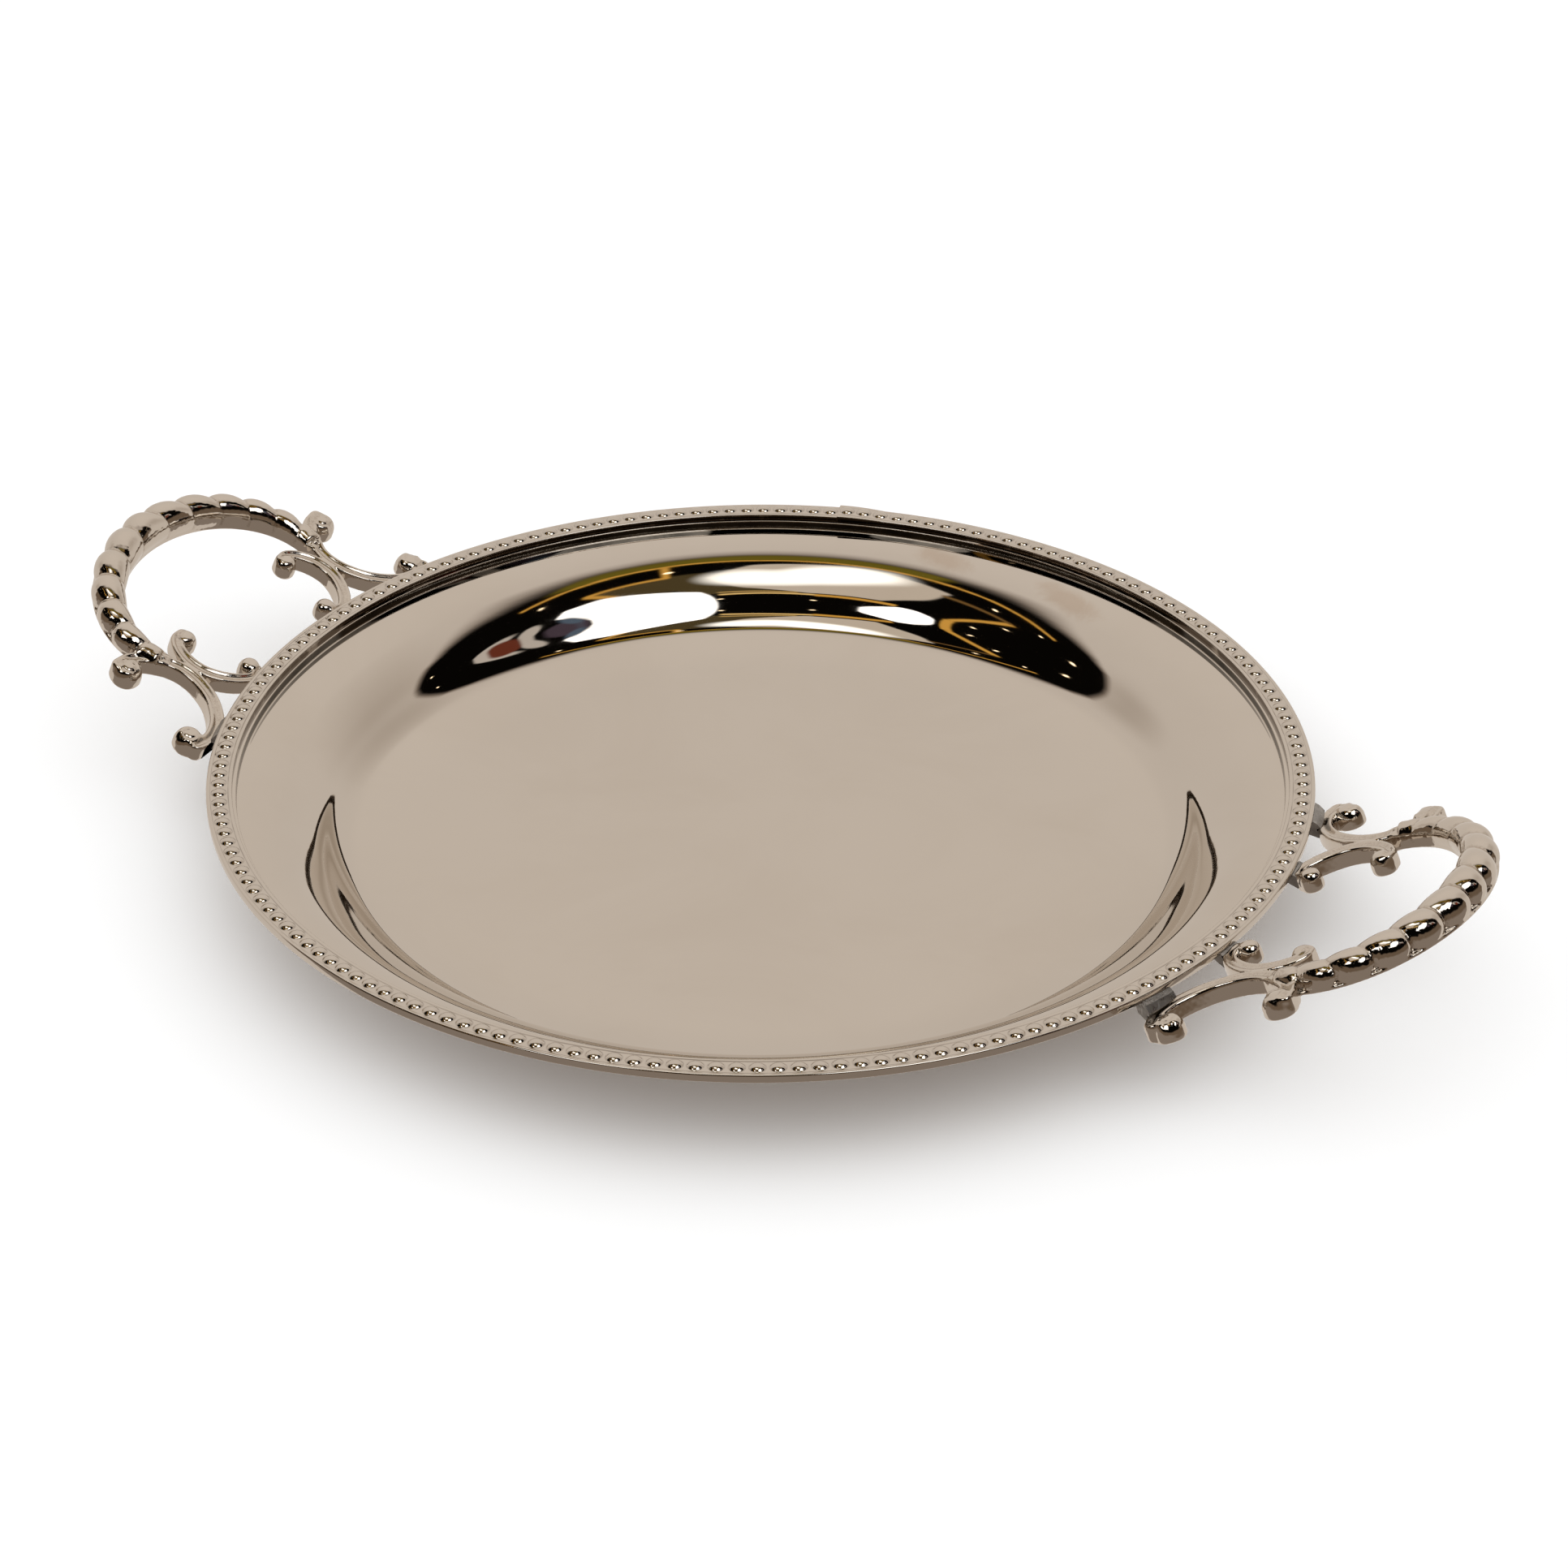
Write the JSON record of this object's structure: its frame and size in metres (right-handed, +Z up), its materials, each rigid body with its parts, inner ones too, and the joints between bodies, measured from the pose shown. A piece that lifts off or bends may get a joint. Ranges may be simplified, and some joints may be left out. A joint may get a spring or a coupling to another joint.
{
  "type": "serving tray",
  "caption": "Round metal serving tray with a deep well, a beaded border and raised gadrooned scroll handles at both sides.",
  "frame": {"origin": "centre of the flat base, on its underside, so the tray stands on z = 0", "axes": "+X through the right handle, +Z up, +Y to the back of the tray where the border's lapped seam is"},
  "size_m": [0.4848, 0.35, 0.0598],
  "materials": {
    "pan_nickel": "mirror-polished nickel plate on spun brass sheet, warm grey, with faint tarnish smears on the flange",
    "border_nickel": "mirror-polished nickel plate on a stamped beaded strip",
    "cast_nickel": "bright nickel plate over a slightly pitted brass casting",
    "solder": "dull grey soft solder, plated over, lightly lumpy"
  },
  "bodies": {
    "root": {"tray_pan": "pan_nickel", "beaded_border": "border_nickel", "border_solder": "solder", "seam_solder": "solder", "right_handle": "cast_nickel", "left_handle": "cast_nickel", "right_handle_solder": "solder", "left_handle_solder": "solder"}
  },
  "joints": []
}
